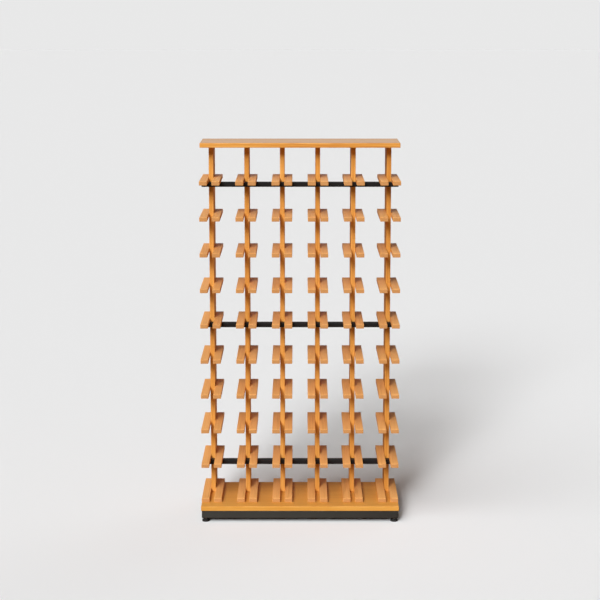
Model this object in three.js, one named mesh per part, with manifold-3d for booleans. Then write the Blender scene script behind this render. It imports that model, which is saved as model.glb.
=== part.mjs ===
// Free-standing wooden wine rack: five columns by ten rows of bottle places.
// Six boards stand on edge between a deep base board and a shallower top
// board. In every row each upright carries one wooden rest on either side, and
// a bottle lies across the inner edges of the two rests that face each other.
// Steel tie bars run under the rests of three rows, and the base board lies on
// a welded steel tube frame with four screw feet.
//
// Millimetres. +Z is up, +X is to the right seen from the front, and the front
// faces -Y. The origin is the centre of the footprint, on the floor.

import * as THREE from 'three';
import * as BufferGeometryUtils from 'three/addons/utils/BufferGeometryUtils.js';
import Module from 'manifold-3d';

// ---------------------------------------------------------------- dimensions

// Grid of bottle places
const COLUMNS = 5;
const ROWS = 10;
const CELL_PITCH = 115; // both ways, centre to centre

// Uprights: boards on edge
const UPRIGHT_THICKNESS = 15;
const UPRIGHT_DEPTH = 120;

// Rests: flat battens screwed to the sides of the uprights
const REST_WIDTH = 25;
const REST_HEIGHT = 13;
const REST_LENGTH = 250;

// Top and base boards
const BOARD_THICKNESS = 15;
const TOP_BOARD_DEPTH = 195;
const BASE_BOARD_DEPTH = 300;

// Rows whose rests have a tie bar under them, counted from the top
const TIED_ROWS = [1, 5, 9];
const TIE_BAR_DEPTH = 25;
const TIE_BAR_HEIGHT = 15;
const TUBE_WALL = 1.5;

// Welded frame of square tube under the base board
const FRAME_TUBE = 25;
const FRAME_INSET = 2.5; // its outside from the edge of the base board

// Screw feet
const FOOT_CLEARANCE = 12; // underside of the frame above the floor
const PAD_RADIUS = 12;
const PAD_HEIGHT = 8;
const PAD_EDGE = 3; // rounding of the pad's upper rim
const PAD_SOLE = 2; // floor of the pad's socket
const SOCKET_HEIGHT = 4.3;
const STUD_RADIUS = 4;
const STUD_HEAD_RADIUS = 6;
const STUD_HEAD_HEIGHT = 4;
const STUD_LENGTH = 30.5;
const RUNNING_GAP = 0.3; // round the stud, in the pad and in the insert
const INSERT_RADIUS = 5.5;
const INSERT_FLANGE_RADIUS = 8;
const INSERT_FLANGE_HEIGHT = 1.5;
const INSERT_BULGE_RADIUS = 6.8;
const INSERT_BULGE_HEIGHT = 2.5;
const INSERT_LENGTH = 12; // above the underside of the frame
const ROUND_STEPS = 24;

// ------------------------------------------------------- derived positions

const WIDTH = COLUMNS * CELL_PITCH + UPRIGHT_THICKNESS + 2 * REST_WIDTH;
const BACK_Y = BASE_BOARD_DEPTH / 2;
const UPRIGHT_FRONT_Y = BACK_Y - UPRIGHT_DEPTH;
const FRAME_TOP_Z = FOOT_CLEARANCE + FRAME_TUBE;
const BASE_TOP_Z = FRAME_TOP_Z + BOARD_THICKNESS;
const UPRIGHT_HEIGHT = ROWS * CELL_PITCH;
const UPRIGHT_TOP_Z = BASE_TOP_Z + UPRIGHT_HEIGHT;
const FRAME_HALF_X = WIDTH / 2 - FRAME_INSET;
const FRAME_HALF_Y = BASE_BOARD_DEPTH / 2 - FRAME_INSET;

const uprightX = (upright) => (upright - 1 - COLUMNS / 2) * CELL_PITCH;
const restBottomZ = (row) => BASE_TOP_Z + (ROWS - row) * CELL_PITCH;

// ------------------------------------------------------------------ materials

const wood = new THREE.MeshStandardMaterial({ color: 0xd8924a, roughness: 0.45, metalness: 0 });
const blackSteel = new THREE.MeshStandardMaterial({ color: 0x26282a, roughness: 0.5, metalness: 0.6 });
const greySteel = new THREE.MeshStandardMaterial({ color: 0x3e3e3c, roughness: 0.5, metalness: 0.6 });
const zincSteel = new THREE.MeshStandardMaterial({ color: 0xa9adb0, roughness: 0.35, metalness: 1 });
const blackPlastic = new THREE.MeshStandardMaterial({ color: 0x151515, roughness: 0.6, metalness: 0 });

// -------------------------------------------------------------------- booleans

const wasm = await Module();
wasm.setup();

// A closed three.js geometry as a solid, with its shared vertices merged.
function toSolid(geometry) {
  const bare = geometry.clone();
  bare.deleteAttribute('normal');
  bare.deleteAttribute('uv');
  const merged = BufferGeometryUtils.mergeVertices(bare);
  return new wasm.Manifold(new wasm.Mesh({
    numProp: 3,
    vertProperties: new Float32Array(merged.attributes.position.array),
    triVerts: new Uint32Array(merged.index.array),
  }));
}

// A solid back as a three.js geometry.
function toGeometry(solid) {
  const mesh = solid.getMesh();
  const geometry = new THREE.BufferGeometry();
  geometry.setAttribute('position', new THREE.BufferAttribute(new Float32Array(mesh.vertProperties), 3));
  geometry.setIndex(new THREE.BufferAttribute(new Uint32Array(mesh.triVerts), 1));
  geometry.computeVertexNormals();
  return geometry;
}

// ---------------------------------------------------------------- basic shapes

// A box between two corners.
function boxBetween(low, high) {
  const size = high.map((value, axis) => value - low[axis]);
  const geometry = new THREE.BoxGeometry(...size);
  return geometry.translate(...low.map((value, axis) => value + size[axis] / 2));
}

// A rectangle about the origin, as a shape or as the hole of one.
function rectangle(halfX, halfY, Kind = THREE.Shape) {
  const outline = new Kind();
  outline.moveTo(-halfX, -halfY);
  outline.lineTo(halfX, -halfY);
  outline.lineTo(halfX, halfY);
  outline.lineTo(-halfX, halfY);
  outline.closePath();
  return outline;
}

// A flat rectangular ring, extruded upwards from z = 0.
function rectangularRing(outerX, outerY, innerX, innerY, height) {
  const ring = rectangle(outerX, outerY);
  ring.holes.push(rectangle(innerX, innerY, THREE.Path));
  return new THREE.ExtrudeGeometry(ring, { depth: height, bevelEnabled: false });
}

// A turned piece about +Z from [radius, height] points, listed from the
// bottom up along the outside, as LatheGeometry wants them.
function turned(profile) {
  const points = profile.map(([radius, height]) => new THREE.Vector2(radius, height));
  const geometry = new THREE.LatheGeometry(points, ROUND_STEPS);
  return toGeometry(toSolid(geometry.rotateX(Math.PI / 2)));
}

function named(name, geometry, material) {
  const mesh = new THREE.Mesh(geometry, material);
  mesh.name = name;
  return mesh;
}

// --------------------------------------------------------------------- boards

function topBoard() {
  const low = [-WIDTH / 2, BACK_Y - TOP_BOARD_DEPTH, UPRIGHT_TOP_Z];
  const high = [WIDTH / 2, BACK_Y, UPRIGHT_TOP_Z + BOARD_THICKNESS];
  return named('top_board', boxBetween(low, high), wood);
}

function baseBoard() {
  const low = [-WIDTH / 2, -BASE_BOARD_DEPTH / 2, FRAME_TOP_Z];
  const high = [WIDTH / 2, BACK_Y, BASE_TOP_Z];
  return named('base_board', boxBetween(low, high), wood);
}

// -------------------------------------------------------- uprights and rests

// One rest, lying against a side of its upright, flush with the upright at the
// back and standing proud of it at the front. side is -1 left, +1 right.
function restGeometry(upright, row, side) {
  const reaches = [UPRIGHT_THICKNESS / 2, UPRIGHT_THICKNESS / 2 + REST_WIDTH];
  const edges = reaches.map((reach) => uprightX(upright) + side * reach);
  const low = [Math.min(...edges), BACK_Y - REST_LENGTH, restBottomZ(row)];
  const high = [Math.max(...edges), BACK_Y, restBottomZ(row) + REST_HEIGHT];
  return boxBetween(low, high);
}

// An upright, with the rests of the rows without a tie bar glued to its sides.
function uprightWithRests(upright) {
  const x = uprightX(upright);
  const low = [x - UPRIGHT_THICKNESS / 2, UPRIGHT_FRONT_Y, BASE_TOP_Z];
  const high = [x + UPRIGHT_THICKNESS / 2, BACK_Y, UPRIGHT_TOP_Z];
  let solid = toSolid(boxBetween(low, high));
  for (let row = 1; row <= ROWS; row++) {
    if (TIED_ROWS.includes(row)) continue;
    for (const side of [-1, 1]) {
      solid = solid.add(toSolid(restGeometry(upright, row, side)));
    }
  }
  return named(`upright_${upright}`, toGeometry(solid), wood);
}

function tiedRests(upright) {
  const rests = [];
  for (const row of TIED_ROWS) {
    rests.push(named(`rest_row_${row}_upright_${upright}_left`, restGeometry(upright, row, -1), wood));
    rests.push(named(`rest_row_${row}_upright_${upright}_right`, restGeometry(upright, row, 1), wood));
  }
  return rests;
}

// ------------------------------------------------------------------ steelwork

// A rectangular tube along X, open at both ends, in front of the uprights and
// under the rests of its row.
function tieBar(row) {
  const outline = rectangle(TIE_BAR_DEPTH / 2, TIE_BAR_HEIGHT / 2);
  outline.holes.push(rectangle(TIE_BAR_DEPTH / 2 - TUBE_WALL, TIE_BAR_HEIGHT / 2 - TUBE_WALL, THREE.Path));
  const length = 2 * FRAME_HALF_X;
  const geometry = new THREE.ExtrudeGeometry(outline, { depth: length, bevelEnabled: false });
  geometry.rotateX(Math.PI / 2);
  geometry.rotateZ(Math.PI / 2);
  const bar = named(`tie_bar_row_${row}`, geometry, blackSteel);
  const y = UPRIGHT_FRONT_Y - TIE_BAR_DEPTH / 2;
  bar.position.set(-length / 2, y, restBottomZ(row) - TIE_BAR_HEIGHT / 2);
  return bar;
}

const footCorners = [
  ['front_left', -1, -1],
  ['front_right', 1, -1],
  ['back_left', -1, 1],
  ['back_right', 1, 1],
].map(([name, sideX, sideY]) => ({
  name,
  x: sideX * (FRAME_HALF_X - FRAME_TUBE / 2),
  y: sideY * (FRAME_HALF_Y - FRAME_TUBE / 2),
}));

// Four square tubes welded into a rectangle, hollow all the way round, with a
// hole through the lower wall at each corner for the foot's threaded insert.
function baseFrame() {
  const innerX = FRAME_HALF_X - FRAME_TUBE;
  const innerY = FRAME_HALF_Y - FRAME_TUBE;
  const outer = toSolid(rectangularRing(FRAME_HALF_X, FRAME_HALF_Y, innerX, innerY, FRAME_TUBE));
  const hollow = rectangularRing(
    FRAME_HALF_X - TUBE_WALL,
    FRAME_HALF_Y - TUBE_WALL,
    innerX + TUBE_WALL,
    innerY + TUBE_WALL,
    FRAME_TUBE - 2 * TUBE_WALL,
  ).translate(0, 0, TUBE_WALL);
  let frame = outer.subtract(toSolid(hollow));
  for (const corner of footCorners) {
    const hole = new THREE.CylinderGeometry(
      INSERT_RADIUS + RUNNING_GAP,
      INSERT_RADIUS + RUNNING_GAP,
      4 * TUBE_WALL,
      ROUND_STEPS,
    );
    hole.rotateX(Math.PI / 2).translate(corner.x, corner.y, 0);
    frame = frame.subtract(toSolid(hole));
  }
  const mesh = named('base_frame', toGeometry(frame), greySteel);
  mesh.position.z = FOOT_CLEARANCE;
  return mesh;
}

// ----------------------------------------------------------------------- feet

// Rivet nut set in the frame's lower wall: flange below it, bulge above it.
function footInsert(corner) {
  const bore = STUD_RADIUS + RUNNING_GAP;
  const geometry = turned([
    [bore, -INSERT_FLANGE_HEIGHT],
    [INSERT_FLANGE_RADIUS, -INSERT_FLANGE_HEIGHT],
    [INSERT_FLANGE_RADIUS, 0],
    [INSERT_RADIUS, 0],
    [INSERT_RADIUS, TUBE_WALL],
    [INSERT_BULGE_RADIUS, TUBE_WALL],
    [INSERT_RADIUS, TUBE_WALL + INSERT_BULGE_HEIGHT],
    [INSERT_RADIUS, INSERT_LENGTH],
    [bore, INSERT_LENGTH],
    [bore, -INSERT_FLANGE_HEIGHT],
  ]);
  const mesh = named(`foot_insert_${corner.name}`, geometry, zincSteel);
  mesh.position.set(corner.x, corner.y, FOOT_CLEARANCE);
  return mesh;
}

// Round pad with a socket that holds the head of the stud.
function footPad(corner) {
  const neck = STUD_RADIUS + RUNNING_GAP;
  const socket = STUD_HEAD_RADIUS + RUNNING_GAP;
  const geometry = turned([
    [0, 0],
    [PAD_RADIUS, 0],
    [PAD_RADIUS, PAD_HEIGHT - PAD_EDGE],
    [PAD_RADIUS - 0.3 * PAD_EDGE, PAD_HEIGHT - 0.3 * PAD_EDGE],
    [PAD_RADIUS - PAD_EDGE, PAD_HEIGHT],
    [neck, PAD_HEIGHT],
    [neck, PAD_SOLE + SOCKET_HEIGHT],
    [socket, PAD_SOLE + SOCKET_HEIGHT],
    [socket, PAD_SOLE],
    [0, PAD_SOLE],
  ]);
  const mesh = named(`foot_pad_${corner.name}`, geometry, blackPlastic);
  mesh.position.set(corner.x, corner.y, 0);
  return mesh;
}

// Threaded stud: its head turns in the pad and its shank in the insert.
function footStud(corner) {
  const geometry = turned([
    [0, 0],
    [STUD_HEAD_RADIUS, 0],
    [STUD_HEAD_RADIUS, STUD_HEAD_HEIGHT],
    [STUD_RADIUS, STUD_HEAD_HEIGHT],
    [STUD_RADIUS, STUD_LENGTH],
    [0, STUD_LENGTH],
  ]);
  const mesh = named(`foot_stud_${corner.name}`, geometry, zincSteel);
  mesh.position.set(corner.x, corner.y, PAD_SOLE);
  return mesh;
}

// ------------------------------------------------------------------- assembly

const rack = new THREE.Group();
rack.add(topBoard(), baseBoard(), baseFrame());
for (let upright = 1; upright <= COLUMNS + 1; upright++) {
  rack.add(uprightWithRests(upright), ...tiedRests(upright));
}
for (const row of TIED_ROWS) {
  rack.add(tieBar(row));
}
for (const corner of footCorners) {
  rack.add(footInsert(corner), footPad(corner), footStud(corner));
}

export default rack;
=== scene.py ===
"""Looks of a free-standing wooden wine rack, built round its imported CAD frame.

Metres, +Z up, the front faces -Y. Every wooden board and rest is its own piece
with rounded edges and its own stretch of grain. The steelwork and the screw
feet follow their CAD nodes with the finer shapes that the real pieces have.
"""

import math
import random

import bmesh
import bpy
from mathutils import Euler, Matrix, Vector


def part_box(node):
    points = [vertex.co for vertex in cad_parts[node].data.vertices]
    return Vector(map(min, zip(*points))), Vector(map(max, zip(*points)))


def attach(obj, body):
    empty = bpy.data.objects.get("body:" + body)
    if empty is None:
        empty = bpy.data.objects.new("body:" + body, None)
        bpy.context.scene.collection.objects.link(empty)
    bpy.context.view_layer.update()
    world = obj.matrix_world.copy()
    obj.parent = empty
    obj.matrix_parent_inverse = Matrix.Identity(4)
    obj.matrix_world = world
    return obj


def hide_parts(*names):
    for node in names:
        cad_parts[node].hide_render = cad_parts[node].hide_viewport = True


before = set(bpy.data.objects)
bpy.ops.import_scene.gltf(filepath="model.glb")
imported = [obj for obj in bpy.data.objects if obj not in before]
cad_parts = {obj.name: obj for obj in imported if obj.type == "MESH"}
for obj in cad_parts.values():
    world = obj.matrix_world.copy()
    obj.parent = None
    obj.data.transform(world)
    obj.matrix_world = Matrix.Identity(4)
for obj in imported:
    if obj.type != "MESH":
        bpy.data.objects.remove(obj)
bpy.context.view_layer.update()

MM = 0.001
RACK = "rack"
UPRIGHTS = range(1, 7)
ROWS = range(1, 11)
TIED_ROWS = (1, 5, 9)
SIDES = {"left": -1, "right": 1}
CORNERS = ("front_left", "front_right", "back_left", "back_right")

dice = random.Random(11)


# ------------------------------------------------------------------ places

def tied_rest_box(row, upright, side):
    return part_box(f"rest_row_{row}_upright_{upright}_{side}")


def rest_box(row, upright, side):
    """Corners of any row's rest: the rows are evenly spaced from the first tied row to the last."""
    first, last = TIED_ROWS[0], TIED_ROWS[-1]
    low, high = tied_rest_box(first, upright, side)
    drop = low.z - tied_rest_box(last, upright, side)[0].z
    down = Vector((0, 0, drop * (row - first) / (last - first)))
    return low - down, high - down


def upright_box(upright):
    """Corners of the board alone, between its two columns of rests."""
    left = tied_rest_box(1, upright, "left")
    right = tied_rest_box(1, upright, "right")
    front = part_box("tie_bar_row_1")[1].y
    low = Vector((left[1].x, front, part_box("base_board")[1].z))
    high = Vector((right[0].x, left[1].y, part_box("top_board")[0].z))
    return low, high


# ---------------------------------------------------------- shader building

class Shader:
    """A material whose nodes are added one call at a time."""

    def __init__(self, name):
        self.material = bpy.data.materials.new(name)
        self.material.use_nodes = True
        self.nodes = self.material.node_tree.nodes
        self.links = self.material.node_tree.links
        self.nodes.clear()

    def add(self, kind, inputs=None, **settings):
        node = self.nodes.new("ShaderNode" + kind)
        for key, value in settings.items():
            setattr(node, key, value)
        for key, value in (inputs or {}).items():
            self.feed(node.inputs[key], value)
        return node

    def feed(self, socket, value):
        if isinstance(value, bpy.types.NodeSocket):
            self.links.new(value, socket)
        else:
            socket.default_value = value

    def math(self, operation, *values):
        node = self.add("Math", operation=operation)
        for socket, value in zip(node.inputs, values):
            self.feed(socket, value)
        return node.outputs[0]

    def vector(self, operation, *values):
        node = self.add("VectorMath", operation=operation)
        for socket, value in zip(node.inputs, values):
            self.feed(socket, value)
        return node.outputs["Value" if operation in ("LENGTH", "DOT_PRODUCT") else "Vector"]

    def remap(self, value, low, high, to_low=0.0, to_high=1.0, smooth=False):
        kind = "SMOOTHSTEP" if smooth else "LINEAR"
        inputs = {0: value, 1: low, 2: high, 3: to_low, 4: to_high}
        return self.add("MapRange", inputs, interpolation_type=kind).outputs[0]

    def noise(self, vector, detail=2.0, roughness=0.5):
        """Noise in cells of about 1, of the vector as it comes."""
        inputs = {"Vector": vector, "Scale": 1.0, "Detail": detail, "Roughness": roughness}
        return self.add("TexNoise", inputs).outputs[0]

    def mix(self, factor, first, second, blend="MIX"):
        node = self.add("Mix", data_type="RGBA", blend_type=blend)
        for index, value in ((0, factor), (6, first), (7, second)):
            self.feed(node.inputs[index], value)
        return node.outputs[2]

    def ramp(self, value, *stops):
        """Colours between stops of (position, (r, g, b))."""
        node = self.add("ValToRGB", {0: value})
        elements = node.color_ramp.elements
        while len(elements) < len(stops):
            elements.new(0.5)
        for element, (position, colour) in zip(elements, stops):
            element.position = position
            element.color = (*colour, 1)
        return node.outputs[0]

    def bump(self, height, distance, strength=1.0, normal=None):
        inputs = {"Height": height, "Distance": distance, "Strength": strength}
        if normal is not None:
            inputs["Normal"] = normal
        return self.add("Bump", inputs).outputs[0]

    def own(self, name):
        """A property of the object that wears the material."""
        return self.add("Attribute", attribute_type="OBJECT", attribute_name=name)

    def edge_band(self):
        """1 on rounded edges, fading to 0 a little way in on the flat faces."""
        return self.add("Attribute", attribute_name="edge_band").outputs["Fac"]

    def finish(self, **inputs):
        surface = self.add("BsdfPrincipled", inputs)
        self.add("OutputMaterial", {"Surface": surface.outputs[0]})
        return self.material


# ---------------------------------------------------------------- materials

RING_SPACING = 4.2 * MM
PITH_WANDER = 14 * MM
PORE_BROWN = (0.33, 0.10, 0.012, 1)
END_PALE = (0.52, 0.262, 0.105, 1)
END_DARK = (0.39, 0.178, 0.062, 1)
END_RING = (0.36, 0.13, 0.035, 1)
RUBBED_EDGE = (0.90, 0.54, 0.18, 1)


def wood(name, along, colours, gloss=0.05, stave_width=None):
    """Satin lacquered wood with its grain along one axis, solid right through,
    so that long faces show lines and end faces show rings. The colours go from
    the darkest streaks to the palest, and gloss is the weight of the lacquer.
    With a stave width, the board is glued up from strips side by side in Y."""
    shader = Shader(name)
    coordinates = shader.add("TexCoord")
    shift = shader.own("grain_shift").outputs["Vector"]
    place = shader.vector("ADD", coordinates.outputs["Object"], shift)
    tone = shader.own("grain_tone").outputs["Fac"]

    if stave_width:
        across = shader.add("SeparateXYZ", {0: coordinates.outputs["Object"]}).outputs["Y"]
        stave = shader.math("FLOOR", shader.math("DIVIDE", across, stave_width))
        chance = shader.add("TexWhiteNoise", {"W": stave}, noise_dimensions="1D")
        jump = shader.vector("MULTIPLY", chance.outputs["Color"], (4.0, 0.05, 0.16))
        place = shader.vector("ADD", place, jump)
        tone = shader.math("ADD", tone, shader.remap(chance.outputs["Value"], 0, 1, -0.05, 0.05))

    split = shader.add("SeparateXYZ", {0: place}).outputs
    order = {"X": "YZX", "Y": "ZXY", "Z": "XYZ"}[along]
    local = shader.add("CombineXYZ", {i: split[axis] for i, axis in enumerate(order)}).outputs[0]

    # Growth rings round a pith that wanders along the trunk
    wander = shader.noise(shader.vector("MULTIPLY", local, (7.0, 7.0, 1.3)), 2.0)
    wander = shader.remap(wander, 0, 1, -PITH_WANDER, PITH_WANDER)
    cross = shader.vector("MULTIPLY", local, (1.0, 1.0, 0.0))
    radius = shader.math("ADD", shader.vector("LENGTH", cross), wander)
    rings = shader.math("FRACT", shader.math("DIVIDE", radius, RING_SPACING))
    ring_end = shader.remap(rings, 0.88, 1.0, 1.0, 0.0, smooth=True)
    late_wood = shader.math("POWER", shader.math("MULTIPLY", rings, ring_end), 2.0)

    # Fibres, short pores and the slow cloudiness of the board
    fibres = shader.noise(shader.vector("MULTIPLY", local, (1500.0, 1500.0, 16.0)), 3.0, 0.6)
    streaks = shader.noise(shader.vector("MULTIPLY", local, (260.0, 260.0, 3.5)), 3.0, 0.6)
    pores = shader.noise(shader.vector("MULTIPLY", local, (1900.0, 1900.0, 120.0)), 1.0)
    pores = shader.remap(pores, 0.62, 0.72, smooth=True)
    clouds = shader.noise(shader.vector("MULTIPLY", local, (11.0, 11.0, 2.2)), 2.0)

    value = shader.math("MULTIPLY_ADD", late_wood, -0.26, 0.60)
    value = shader.math("MULTIPLY_ADD", shader.math("SUBTRACT", streaks, 0.5), 0.85, value)
    value = shader.math("MULTIPLY_ADD", shader.math("SUBTRACT", clouds, 0.5), 0.70, value)
    value = shader.math("MULTIPLY_ADD", shader.math("SUBTRACT", fibres, 0.5), 0.40, value)
    value = shader.math("ADD", value, tone)
    colour = shader.ramp(value, *zip((0.0, 0.45, 1.0), colours))
    colour = shader.mix(shader.math("MULTIPLY", pores, 0.22), colour, PORE_BROWN)

    # End faces drink more stain and show the cut ends of the pores
    along_axis = tuple(1.0 if axis == along else 0.0 for axis in "XYZ")
    facing = shader.vector("DOT_PRODUCT", coordinates.outputs["Normal"], along_axis)
    end = shader.remap(shader.math("ABSOLUTE", facing), 0.6, 0.95, smooth=True)
    speckle = shader.noise(shader.vector("MULTIPLY", local, (1300.0, 1300.0, 1300.0)), 2.0)
    end_colour = shader.mix(shader.remap(speckle, 0.35, 0.70), END_PALE, END_DARK)
    end_colour = shader.mix(shader.math("MULTIPLY", late_wood, 0.45), end_colour, END_RING)
    colour = shader.mix(shader.math("MULTIPLY", end, 0.8), colour, end_colour)

    # Edges rubbed a little paler and duller in handling
    rubbing = shader.noise(shader.vector("MULTIPLY", local, (90.0, 90.0, 22.0)), 2.0)
    rubbed = shader.remap(rubbing, 0.42, 0.65, smooth=True)
    wear = shader.math("MULTIPLY", shader.edge_band(), rubbed)
    colour = shader.mix(shader.math("MULTIPLY", wear, 0.22), colour, RUBBED_EDGE)

    roughness = shader.remap(streaks, 0.3, 0.7, 0.40, 0.50)
    roughness = shader.math("MULTIPLY_ADD", wear, 0.10, roughness)
    roughness = shader.math("MULTIPLY_ADD", end, 0.10, roughness)
    relief = shader.math("SUBTRACT", fibres, shader.math("MULTIPLY", pores, 0.8))
    relief = shader.math("MULTIPLY_ADD", late_wood, 0.35, relief)
    return shader.finish(**{
        "Base Color": colour,
        "Roughness": roughness,
        "Normal": shader.bump(relief, 0.06 * MM, 0.7),
        "Specular IOR Level": 0.2,
        "Coat Weight": gloss,
        "Coat Roughness": 0.18,
    })


def painted_steel(name, colour, worn_colour, roughness):
    """Powder-coated steel: fine orange peel, faint dust, edges a touch paler."""
    shader = Shader(name)
    place = shader.add("TexCoord").outputs["Object"]
    peel = shader.noise(shader.vector("MULTIPLY", place, (900.0, 900.0, 900.0)), 2.0, 0.6)
    smudges = shader.noise(shader.vector("MULTIPLY", place, (14.0, 14.0, 14.0)), 4.0, 0.6)
    rubbing = shader.noise(shader.vector("MULTIPLY", place, (150.0, 150.0, 150.0)), 4.0, 0.6)
    rubbed = shader.remap(rubbing, 0.45, 0.75, smooth=True)
    wear = shader.math("MULTIPLY", shader.edge_band(), rubbed)
    dusted = tuple(c * 1.3 + 0.006 for c in colour)
    tint = shader.mix(shader.remap(smudges, 0.35, 0.75, 0.0, 0.35), (*colour, 1), (*dusted, 1))
    tint = shader.mix(shader.math("MULTIPLY", wear, 0.45), tint, (*worn_colour, 1))
    gloss = shader.remap(smudges, 0.3, 0.7, roughness - 0.06, roughness + 0.08)
    return shader.finish(**{
        "Base Color": tint,
        "Roughness": gloss,
        "Normal": shader.bump(peel, 0.04 * MM, 0.5),
        "Specular IOR Level": 0.3,
    })


def moulded_plastic(name):
    """Black nylon with a fine spark-eroded texture."""
    shader = Shader(name)
    place = shader.add("TexCoord").outputs["Object"]
    grain = shader.noise(shader.vector("MULTIPLY", place, (2600.0, 2600.0, 2600.0)), 2.0)
    scuffs = shader.noise(shader.vector("MULTIPLY", place, (240.0, 240.0, 240.0)), 3.0)
    tint = shader.mix(
        shader.remap(scuffs, 0.4, 0.75, 0.0, 0.5),
        (0.012, 0.012, 0.013, 1),
        (0.040, 0.040, 0.042, 1),
    )
    return shader.finish(**{
        "Base Color": tint,
        "Roughness": shader.remap(scuffs, 0.3, 0.7, 0.42, 0.58),
        "Normal": shader.bump(grain, 0.05 * MM, 0.5),
    })


def plated_steel(name, colour):
    """Zinc-plated steel, slightly blotched."""
    shader = Shader(name)
    place = shader.add("TexCoord").outputs["Object"]
    blotches = shader.noise(shader.vector("MULTIPLY", place, (380.0, 380.0, 380.0)), 3.0)
    turning = shader.noise(shader.vector("MULTIPLY", place, (300.0, 300.0, 5200.0)), 2.0)
    darker = tuple(c * 0.72 for c in colour)
    tint = shader.mix(shader.remap(blotches, 0.35, 0.7), (*darker, 1), (*colour, 1))
    return shader.finish(**{
        "Base Color": tint,
        "Metallic": 1.0,
        "Roughness": shader.remap(blotches, 0.3, 0.7, 0.24, 0.40),
        "Normal": shader.bump(turning, 0.03 * MM, 0.4),
    })


STAVE_WIDTH = 65 * MM
AMBER = ((0.46, 0.150, 0.020), (0.66, 0.298, 0.058), (0.80, 0.425, 0.112))
DEEP_AMBER = ((0.43, 0.140, 0.016), (0.61, 0.272, 0.044), (0.75, 0.390, 0.090))
HONEY = ((0.57, 0.236, 0.052), (0.80, 0.388, 0.112), (0.92, 0.505, 0.180))
top_wood = wood("top_board_wood", "X", AMBER, 0.6, STAVE_WIDTH)
base_wood = wood("base_board_wood", "X", DEEP_AMBER, 0.05, STAVE_WIDTH)
upright_wood = wood("upright_wood", "Z", AMBER)
rest_wood = wood("rest_wood", "Y", HONEY)
black_paint = painted_steel(
    "black_powder_coat",
    colour=(0.006, 0.0065, 0.0075),
    worn_colour=(0.05, 0.05, 0.05),
    roughness=0.52,
)
grey_paint = painted_steel(
    "dark_grey_powder_coat",
    colour=(0.034, 0.034, 0.031),
    worn_colour=(0.13, 0.13, 0.125),
    roughness=0.48,
)
black_plastic = moulded_plastic("black_nylon")
zinc = plated_steel("zinc_plate", (0.55, 0.56, 0.58))
black_zinc = plated_steel("black_zinc_plate", (0.10, 0.10, 0.11))


# ------------------------------------------------------------------- shapes

def piece(name, bm, material, body=RACK, replaces=()):
    """A finished mesh object that rides on a CAD body."""
    mesh = bpy.data.meshes.new(name)
    bmesh.ops.recalc_face_normals(bm, faces=bm.faces)
    bm.to_mesh(mesh)
    bm.free()
    mesh.materials.append(material)
    made = bpy.data.objects.new(name, mesh)
    bpy.context.scene.collection.objects.link(made)
    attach(made, body)
    if replaces:
        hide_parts(*replaces)
    return made


def smooth(made):
    """Rounded edges shade smoothly and flat faces stay flat."""
    for polygon in made.data.polygons:
        polygon.use_smooth = True
    modifier = made.modifiers.new("weighted_normals", "WEIGHTED_NORMAL")
    modifier.weight = 90
    return made


def block(low, high, rounding, band):
    """A box with rounded edges. Its edge_band attribute is 1 on the rounding
    and 0 from band inwards on each flat face."""
    bm = bmesh.new()
    edge_band = bm.verts.layers.float.new("edge_band")
    bmesh.ops.create_cube(bm, size=1)
    size, middle = high - low, (low + high) / 2
    for vertex in bm.verts:
        vertex.co = Vector(a * b for a, b in zip(vertex.co, size)) + middle
    bmesh.ops.bevel(bm, geom=bm.edges, offset=rounding, segments=3, profile=0.5, affect="EDGES")
    for vertex in bm.verts:
        vertex[edge_band] = 1
    flats = sorted(bm.faces, key=lambda face: face.calc_area())[-6:]
    for face in flats:
        bmesh.ops.inset_individual(bm, faces=[face], thickness=band)
        for vertex in face.verts:
            vertex[edge_band] = 0
    return bm


AXIS = {"X": 0, "Y": 1, "Z": 2}
PITH_NEAR, PITH_FAR = 30 * MM, 120 * MM
REACH_ALONG_TRUNK = 4.0
TONE_SPREAD = 0.10
EDGE_ROUNDING, EDGE_BAND = 1.2 * MM, 2.5 * MM
BOARD_ROUNDING, BOARD_BAND = 1.6 * MM, 3.0 * MM


def give_grain(made, low, high, along):
    """Cuts the piece from its own place in the trunk, with its own tone."""
    shift = -(low + high) / 2
    angle = dice.uniform(0, 2 * math.pi)
    distance = dice.uniform(PITH_NEAR, PITH_FAR)
    first, second = [i for i in range(3) if i != AXIS[along]]
    shift[first] += distance * math.cos(angle)
    shift[second] += distance * math.sin(angle)
    shift[AXIS[along]] += dice.uniform(-REACH_ALONG_TRUNK, REACH_ALONG_TRUNK)
    made["grain_shift"] = list(shift)
    made["grain_tone"] = dice.uniform(-TONE_SPREAD, TONE_SPREAD)


def timber(name, low, high, along, material, replaces, rounding=EDGE_ROUNDING, band=EDGE_BAND):
    """One solid piece of wood with softened edges."""
    bm = block(low, high, rounding, band)
    made = smooth(piece(name, bm, material, replaces=replaces))
    give_grain(made, low, high, along)
    return made


def rounded_rectangle(half_width, half_height, radius, steps, fade=1.2 * MM):
    """Points of a rectangle with round corners, anticlockwise. Each corner has
    one more point on the flat before and after it, where edge wear has faded."""
    points = []
    for quarter, (sx, sy) in enumerate(((1, 1), (-1, 1), (-1, -1), (1, -1))):
        for step in range(-1, steps + 2):
            angle = math.pi / 2 * (quarter + min(max(step, 0), steps) / steps)
            x = sx * (half_width - radius) + radius * math.cos(angle)
            y = sy * (half_height - radius) + radius * math.sin(angle)
            if step == -1:
                x, y = x + fade * math.sin(angle), y - fade * math.cos(angle)
            if step == steps + 1:
                x, y = x - fade * math.sin(angle), y + fade * math.cos(angle)
            points.append((x, y))
    return points


def mark_corners(loop, steps, edge_band):
    """Full edge wear on the round corners of a rounded rectangle's vertices."""
    for index, vertex in enumerate(loop):
        vertex[edge_band] = 1 if 0 < index % (steps + 3) < steps + 2 else 0


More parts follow.
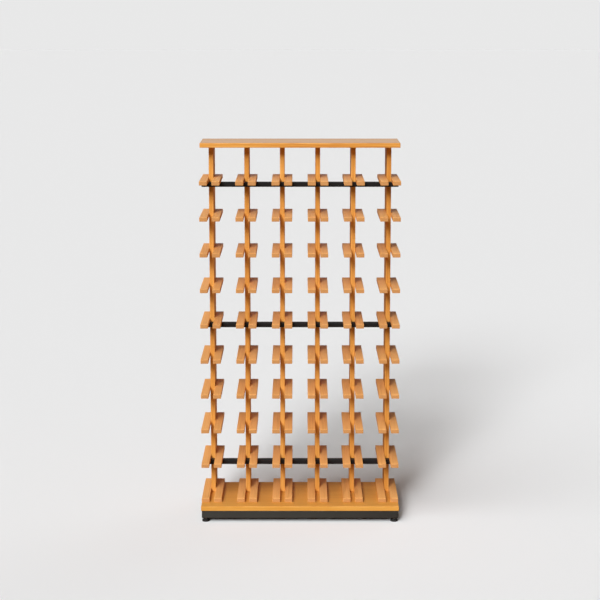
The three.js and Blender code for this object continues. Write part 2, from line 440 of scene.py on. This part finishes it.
def bridge(bm, first, second):
    """Quads between two closed loops with the same number of vertices."""
    count = len(first)
    for i in range(count):
        j = (i + 1) % count
        bm.faces.new((first[i], first[j], second[j], second[i]))


def ring_of(bm, points):
    return [bm.verts.new(point) for point in points]


def open_tube(low, high, wall, radius, steps=4):
    """A rectangular tube along X with round corners and open ends."""
    bm = bmesh.new()
    edge_band = bm.verts.layers.float.new("edge_band")
    middle = (low + high) / 2
    half_y, half_z = (high.y - low.y) / 2, (high.z - low.z) / 2
    lip = 0.3 * MM
    outer = rounded_rectangle(half_y, half_z, radius, steps)
    shy = rounded_rectangle(half_y - lip, half_z - lip, radius - lip, steps)
    inner = rounded_rectangle(half_y - wall, half_z - wall, max(radius - wall, 0.4 * MM), steps)

    def loop(x, outline):
        return ring_of(bm, [(x, middle.y + y, middle.z + z) for y, z in outline])

    ends = []
    for x, inward in ((low.x, 1), (high.x, -1)):
        rings = [loop(x + inward * lip, outer), loop(x, shy), loop(x, inner)]
        bridge(bm, rings[0], rings[1])
        bridge(bm, rings[1], rings[2])
        for ring in rings:
            mark_corners(ring, steps, edge_band)
        ends.append(rings)
    for which in (0, 2):
        bridge(bm, ends[0][which], ends[1][which])
    return bm


def turned(centre, profile, steps=48, flutes=0, flute_depth=0.0):
    """A solid of revolution about Z from (radius, height) points that start
    and end on the axis. Flutes are shallow grooves down the widest part."""
    bm = bmesh.new()
    rings = []
    widest = max(radius for radius, _ in profile)
    for radius, height in profile:
        if radius == 0:
            rings.append([bm.verts.new((centre.x, centre.y, height))])
            continue
        points = []
        for step in range(steps):
            angle = 2 * math.pi * step / steps
            dip = flute_depth * (0.5 - 0.5 * math.cos(flutes * angle)) if radius == widest else 0
            x = centre.x + (radius - dip) * math.cos(angle)
            y = centre.y + (radius - dip) * math.sin(angle)
            points.append((x, y, height))
        rings.append(ring_of(bm, points))
    for first, second in zip(rings, rings[1:]):
        if len(first) == len(second):
            bridge(bm, first, second)
        else:
            tip, rim = (first[0], second) if len(first) == 1 else (second[0], first)
            for i in range(steps):
                bm.faces.new((tip, rim[i], rim[(i + 1) % steps]))
    return bm


# ------------------------------------------------------------------- timber

def uprights_and_rests():
    for upright in UPRIGHTS:
        node = f"upright_{upright}"
        low, high = upright_box(upright)
        timber(f"upright_board_{upright}", low, high, "Z", upright_wood, [node])
        for row in ROWS:
            for side in SIDES:
                low, high = rest_box(row, upright, side)
                tied = row in TIED_ROWS
                stands_for = f"rest_row_{row}_upright_{upright}_{side}" if tied else node
                name = f"batten_row_{row}_upright_{upright}_{side}"
                timber(name, low, high, "Y", rest_wood, [stands_for])


def boards():
    for node, material in (("top_board", top_wood), ("base_board", base_wood)):
        low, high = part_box(node)
        name = f"{node}_planks"
        timber(name, low, high, "X", material, [node], BOARD_ROUNDING, BOARD_BAND)


# ---------------------------------------------------------------- steelwork

TUBE_WALL = 1.5 * MM
BAR_CORNER = 2.0 * MM
FRAME_CORNER = 3.0 * MM
MITRE_BEAD, CORNER_BEAD = 0.8 * MM, 1.6 * MM
SCREW_HEAD_RADIUS = 3.6 * MM
SCREW_SOCKET_RADIUS = 1.5 * MM
SCREW_PROUD = 0.25 * MM


def hexagon_reach(angle):
    """How far a hexagon with corners at 1 reaches in a direction."""
    return math.cos(math.pi / 6) / math.cos((angle + math.pi / 6) % (math.pi / 3) - math.pi / 6)


def screw_head(bm, centre, steps=24):
    """A countersunk head, all but flush in the face above it, with a six-sided
    socket that opens downwards."""
    # radius as a part of the head's, depth above the face, and whether it is the socket
    outline = (
        (0.60, 1.4 * MM, False),
        (1.00, 0.1 * MM, False),
        (1.00, -0.6 * SCREW_PROUD, False),
        (0.94, -SCREW_PROUD, False),
        (1.00, -SCREW_PROUD, True),
        (1.00, 1.1 * MM, True),
    )
    rings = []
    for part, depth, socket in outline:
        points = []
        for step in range(steps):
            angle = 2 * math.pi * step / steps
            radius = SCREW_SOCKET_RADIUS * hexagon_reach(angle) if socket else SCREW_HEAD_RADIUS
            points.append((
                centre.x + part * radius * math.cos(angle),
                centre.y + part * radius * math.sin(angle),
                centre.z + depth,
            ))
        rings.append(ring_of(bm, points))
    for first, second in zip(rings, rings[1:]):
        bridge(bm, first, second)
    bm.faces.new(rings[0])
    bm.faces.new(rings[-1])


def tie_bars():
    """Each bar, with a screw up through it into every rest of its row."""
    for row in TIED_ROWS:
        node = f"tie_bar_row_{row}"
        low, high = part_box(node)
        bm = open_tube(low, high, TUBE_WALL, BAR_CORNER)
        smooth(piece(f"tie_bar_tube_row_{row}", bm, black_paint, replaces=[node]))
        screws = bmesh.new()
        for upright in UPRIGHTS:
            for side in SIDES:
                rest_low, rest_high = tied_rest_box(row, upright, side)
                x = (rest_low.x + rest_high.x) / 2
                screw_head(screws, Vector((x, (low.y + high.y) / 2, low.z)))
        smooth(piece(f"tie_bar_screws_row_{row}", screws, black_zinc))


def swept_frame(low, high, tube, radius, steps=4):
    """A closed rectangle of square tube with mitred corners."""
    bm = bmesh.new()
    edge_band = bm.verts.layers.float.new("edge_band")
    middle = (low + high) / 2
    outline = rounded_rectangle(tube / 2, tube / 2, radius, steps)
    loops = []
    for sx, sy in ((-1, -1), (1, -1), (1, 1), (-1, 1)):
        half_x = (high.x - low.x) / 2 - tube / 2
        half_y = (high.y - low.y) / 2 - tube / 2
        points = [
            (middle.x + sx * (half_x + out), middle.y + sy * (half_y + out), middle.z + up)
            for out, up in outline
        ]
        loops.append(ring_of(bm, points))
        mark_corners(loops[-1], steps, edge_band)
    for i in range(4):
        bridge(bm, loops[i], loops[(i + 1) % 4])
    return bm


def weld_bead(bm, start, end, radius, ripples):
    """A rippled bead along a straight seam, rounded off at both ends."""
    along = end - start
    turn = along.to_track_quat("Z", "Y")
    steps, sides = ripples * 4, 8
    rings = []
    for step in range(steps + 1):
        t = step / steps
        swell = radius * (0.86 + 0.14 * math.cos(2 * math.pi * ripples * t))
        swell *= math.sqrt(max(1 - (2 * t - 1) ** 8, 0.04))
        middle = start + along * t
        circle = []
        for side in range(sides):
            angle = 2 * math.pi * side / sides
            arm = Vector((swell * math.cos(angle), swell * math.sin(angle), 0))
            circle.append(middle + turn @ arm)
        rings.append(ring_of(bm, circle))
    for first, second in zip(rings, rings[1:]):
        bridge(bm, first, second)
    bm.faces.new(rings[0])
    bm.faces.new(rings[-1])


def base_frame():
    """The frame's tubes, with a bead across each mitre below and up each inner corner."""
    low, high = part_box("base_frame")
    tube = high.z - low.z
    bm = swept_frame(low, high, tube, FRAME_CORNER)
    made = piece("base_frame_tubes", bm, grey_paint, replaces=["base_frame"])
    smooth(made)
    beads = bmesh.new()
    for sx in (-1, 1):
        for sy in (-1, 1):
            outer = Vector((high.x * sx, high.y * sy, low.z))
            inner = outer - Vector((sx * tube, sy * tube, 0))
            inset = Vector((sx * FRAME_CORNER, sy * FRAME_CORNER, 0))
            weld_bead(beads, outer - inset, inner + inset, MITRE_BEAD, ripples=12)
            foot, head = Vector((0, 0, FRAME_CORNER)), Vector((0, 0, tube - FRAME_CORNER))
            weld_bead(beads, inner + foot, inner + head, CORNER_BEAD, ripples=9)
    smooth(piece("base_frame_welds", beads, grey_paint))


# --------------------------------------------------------------------- feet

THREAD_PITCH = 1.25 * MM
THREAD_DEPTH = 0.65 * MM
STUD_RADIUS = 4.0 * MM
STUD_HEAD_HEIGHT = 4.0 * MM
# Play round the stud in the pad: at its neck, round its head, above and below it
NECK_PLAY, SEAT_PLAY, LID_PLAY, FLOOR_PLAY = 0.4 * MM, 0.3 * MM, 0.3 * MM, 0.1 * MM


def threaded_stud(centre, low_z, high_z, radius, head_radius, head_top):
    """A stud with a round head at the bottom and a helical thread above it."""
    bm = bmesh.new()
    steps = 32
    per_turn = 4
    rings = [
        ring_of(bm, [
            (
                centre.x + head_radius * math.cos(2 * math.pi * i / steps),
                centre.y + head_radius * math.sin(2 * math.pi * i / steps),
                height,
            )
            for i in range(steps)
        ])
        for height in (low_z, head_top)
    ]
    count = round((high_z - head_top) / THREAD_PITCH * per_turn)
    for step in range(count + 1):
        height = head_top + (high_z - head_top) * step / count
        circle = []
        for i in range(steps):
            turn = i / steps
            phase = ((height - head_top) / THREAD_PITCH - turn) % 1
            groove = THREAD_DEPTH * abs(2 * phase - 1)
            if step in (0, count):
                groove = THREAD_DEPTH
            angle = 2 * math.pi * turn
            reach = radius - groove
            x = centre.x + reach * math.cos(angle)
            y = centre.y + reach * math.sin(angle)
            circle.append((x, y, height))
        rings.append(ring_of(bm, circle))
    for first, second in zip(rings, rings[1:]):
        bridge(bm, first, second)
    bm.faces.new(rings[0])
    bm.faces.new(rings[-1])
    return bm


def feet():
    """Each foot's fluted pad, with a seat for the stud's head, and its stud."""
    for corner in CORNERS:
        pad_low, pad_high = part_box(f"foot_pad_{corner}")
        centre = (pad_low + pad_high) / 2
        radius = (pad_high.x - pad_low.x) / 2
        stud_low, stud_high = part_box(f"foot_stud_{corner}")
        head_radius = (stud_high.x - stud_low.x) / 2
        head_top = stud_low.z + STUD_HEAD_HEIGHT
        neck = STUD_RADIUS + NECK_PLAY
        seat = head_radius + SEAT_PLAY
        seat_floor = stud_low.z - FLOOR_PLAY
        seat_top = head_top + LID_PLAY
        top, sole = pad_high.z, pad_low.z
        # From the middle of the sole out, up the side, over the shoulder, into the seat
        profile = [
            (0, sole + 0.4 * MM),
            (radius - 2.0 * MM, sole + 0.4 * MM),
            (radius - 1.4 * MM, sole),
            (radius - 0.5 * MM, sole),
            (radius, sole + 0.6 * MM),
            (radius, sole + 4.6 * MM),
            (radius - 0.3 * MM, sole + 5.4 * MM),
            (radius - 1.2 * MM, sole + 6.3 * MM),
            (radius - 3.0 * MM, sole + 7.1 * MM),
            (neck + 1.8 * MM, top - 0.3 * MM),
            (neck + 1.0 * MM, top),
            (neck, top - 0.2 * MM),
            (neck, seat_top),
            (seat, seat_top),
            (seat, seat_floor),
            (0, seat_floor),
        ]
        pad = turned(centre, profile, steps=96, flutes=24, flute_depth=0.35 * MM)
        smooth(piece(
            f"foot_sole_{corner}",
            pad,
            black_plastic,
            body=f"foot_{corner}",
            replaces=[f"foot_pad_{corner}"],
        ))
        stud = threaded_stud(
            centre, stud_low.z, stud_high.z, STUD_RADIUS, head_radius, head_top
        )
        smooth(piece(
            f"foot_thread_{corner}",
            stud,
            zinc,
            body=f"foot_screw_{corner}",
            replaces=[f"foot_stud_{corner}"],
        ))
        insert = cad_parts[f"foot_insert_{corner}"]
        insert.data.materials.clear()
        insert.data.materials.append(zinc)


# -------------------------------------------------------- floor, light, camera

FLOOR_REACH = 60.0
FLOOR_COLOUR = (0.825, 0.845, 0.86)
FLOOR_BOUNCE = (0.32, 0.21, 0.13)


def floor():
    """A plain floor that the camera sees paler than it lights the rack."""
    mesh = bpy.data.meshes.new("floor")
    signs = ((-1, -1), (1, -1), (1, 1), (-1, 1))
    corners = [(x * FLOOR_REACH, y * FLOOR_REACH, 0) for x, y in signs]
    mesh.from_pydata(corners, [], [(0, 1, 2, 3)])
    made = bpy.data.objects.new("floor", mesh)
    bpy.context.scene.collection.objects.link(made)
    shader = Shader("pale_floor")
    seen = shader.add("LightPath").outputs["Is Camera Ray"]
    colour = shader.mix(seen, (*FLOOR_BOUNCE, 1), (*FLOOR_COLOUR, 1))
    matt = {"Base Color": colour, "Roughness": 1.0, "Specular IOR Level": 0.0}
    mesh.materials.append(shader.finish(**matt))


AMBIENT_LIGHT = (0.062, 0.038, 0.022)
SURROUND_SEEN = {"Is Glossy Ray": (0.07, 0.07, 0.07), "Is Camera Ray": (0.81, 0.81, 0.81)}


def sun_light(name, heading, brightness, degrees, seen_by="DIFFUSE"):
    """Light that travels along a heading, so bright that it makes a white
    surface facing it this bright, from a patch of sky so many degrees wide.
    It shows in diffuse light, in gloss or in both."""
    data = bpy.data.lights.new(name, "SUN")
    data.energy = math.pi * brightness
    data.angle = math.radians(degrees)
    lamp = bpy.data.objects.new(name, data)
    lamp.rotation_euler = Vector(heading).to_track_quat("-Z", "Y").to_euler()
    lamp.visible_glossy = seen_by != "DIFFUSE"
    lamp.visible_diffuse = seen_by != "GLOSS"
    bpy.context.scene.collection.objects.link(lamp)


def reflector(place, target, width, height, brightness):
    """A pale card that shows only in gloss."""
    data = bpy.data.lights.new("reflector", "AREA")
    data.shape = "RECTANGLE"
    data.size, data.size_y = width, height
    data.energy = brightness * math.pi * width * height
    card = bpy.data.objects.new("reflector", data)
    card.location = place
    card.rotation_euler = (Vector(target) - Vector(place)).to_track_quat("-Z", "Y").to_euler()
    card.visible_camera = False
    card.visible_diffuse = False
    bpy.context.scene.collection.objects.link(card)


def light():
    """A pale studio: a soft key in two parts from the front left, a wide light
    from the upper left, a weak one on the back, and a lamp and a card that
    show only in gloss. The surround's own light is faint and warm, like light
    that has come off the wood, but it looks pale."""
    world = bpy.data.worlds.new("studio")
    world.use_nodes = True
    nodes, links = world.node_tree.nodes, world.node_tree.links
    path = nodes.new("ShaderNodeLightPath")
    target = nodes["Background"].inputs["Color"]
    for ray, colour in SURROUND_SEEN.items():
        switch = nodes.new("ShaderNodeMix")
        switch.data_type = "RGBA"
        links.new(path.outputs[ray], switch.inputs[0])
        links.new(switch.outputs[2], target)
        switch.inputs[7].default_value = (*colour, 1)
        target = switch.inputs[6]
    target.default_value = (*AMBIENT_LIGHT, 1)
    bpy.context.scene.world = world
    sun_light("key", (0.28, 1.0, -0.46), brightness=0.67, degrees=14)
    sun_light("high_key", (0.28, 1.0, -0.80), brightness=0.40, degrees=22)
    sun_light("top", (0.50, 0.45, -1.0), brightness=0.43, degrees=50, seen_by="BOTH")
    sun_light("back", (-0.8, -1.0, -0.05), brightness=0.42, degrees=50)
    sun_light("glints", (0.22, 1.0, -0.60), brightness=0.30, degrees=20, seen_by="GLOSS")
    top_front = (0, 0, 1.2)
    reflector((0, 2.6, 1.52), top_front, width=5.0, height=0.35, brightness=0.78)
    bpy.context.scene.view_settings.view_transform = "Standard"


EYE = Vector((0, -5.68, 1.653))
TILT = math.radians(9.49)
SENSOR_WIDTH = 36.0
IMAGE_WIDTH = 600
FOCAL_PIXELS = 1770


def camera():
    """In front of the rack's middle, above it, looking a little down."""
    data = bpy.data.cameras.new("camera")
    data.sensor_width = SENSOR_WIDTH
    data.lens = data.sensor_width * FOCAL_PIXELS / IMAGE_WIDTH
    made = bpy.data.objects.new("camera", data)
    made.location = EYE
    made.rotation_euler = Euler((math.pi / 2 - TILT, 0, 0))
    bpy.context.scene.collection.objects.link(made)
    bpy.context.scene.camera = made


uprights_and_rests()
boards()
tie_bars()
base_frame()
feet()
floor()
light()
camera()
